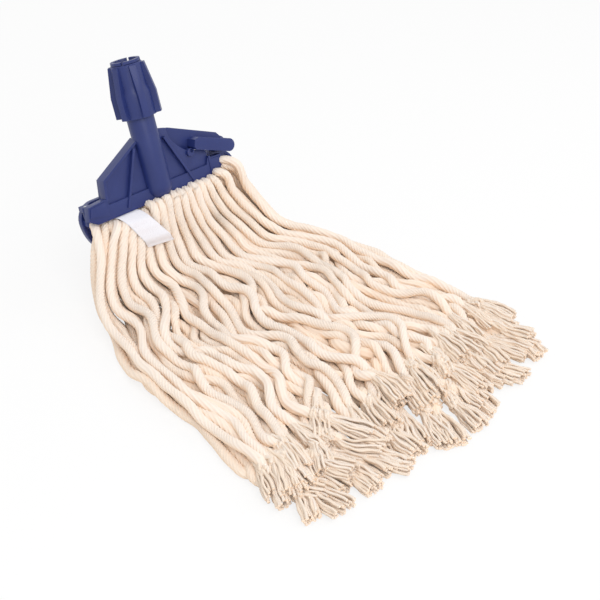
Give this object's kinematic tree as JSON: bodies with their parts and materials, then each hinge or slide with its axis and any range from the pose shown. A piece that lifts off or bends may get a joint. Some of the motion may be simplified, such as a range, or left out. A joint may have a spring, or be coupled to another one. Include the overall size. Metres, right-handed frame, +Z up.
{
  "type": "string mop",
  "caption": "String mop: a head of thick twisted cotton yarn held in a hinged plastic clip with a latch lever, and a screw collar on its handle socket.",
  "frame": {"origin": "on the floor, under the middle of the part's bounding box", "axes": "+Z up; X along the jaw with the latch at +X; the strands lie towards -Y and the socket leans towards +Y"},
  "size_m": [0.362, 0.4895, 0.2514],
  "materials": {
    "blue_plastic": "satin",
    "pin_steel": "satin",
    "cotton_tape": "matte",
    "sewing_thread": "matte",
    "tag_cloth": "matte",
    "cotton_yarn": "matte"
  },
  "bodies": {
    "mop": {"front_jaw": "blue_plastic", "socket_tube": "blue_plastic", "hinge_pin": "pin_steel", "headband": "cotton_tape", "stitching": "sewing_thread", "cloth_tag": "tag_cloth", "yarn_front_1": "cotton_yarn", "yarn_front_2": "cotton_yarn", "yarn_front_3": "cotton_yarn", "yarn_front_4": "cotton_yarn", "yarn_upper_1": "cotton_yarn", "yarn_upper_2": "cotton_yarn", "yarn_upper_3": "cotton_yarn", "yarn_upper_4": "cotton_yarn", "yarn_lower_1": "cotton_yarn", "yarn_lower_2": "cotton_yarn", "yarn_lower_3": "cotton_yarn", "yarn_lower_4": "cotton_yarn", "yarn_rear_1": "cotton_yarn", "yarn_rear_2": "cotton_yarn", "yarn_rear_3": "cotton_yarn", "yarn_rear_4": "cotton_yarn"},
    "collar": {"screw_collar": "blue_plastic"},
    "back_clamp": {"rear_jaw": "blue_plastic", "latch_pin": "pin_steel"},
    "lever": {"latch_lever": "blue_plastic"}
  },
  "joints": [
    {"name": "collar_turn", "type": "hinge", "parent": "mop", "child": "collar", "pos_m": [-0.02804, 0.21746, 0.21603], "axis": [0, 0.309, 0.9511], "range_deg": [0, 360]},
    {"name": "rear_jaw_swing", "type": "hinge", "parent": "mop", "child": "back_clamp", "pos_m": [-0.11354, 0.19565, 0.10361], "axis": [0, 0.309, 0.9511], "range_deg": [0, 100]},
    {"name": "lever_lift", "type": "hinge", "parent": "back_clamp", "child": "lever", "pos_m": [0.07096, 0.18872, 0.12758], "axis": [0, 0.9511, -0.309], "range_deg": [0, 100]}
  ]
}
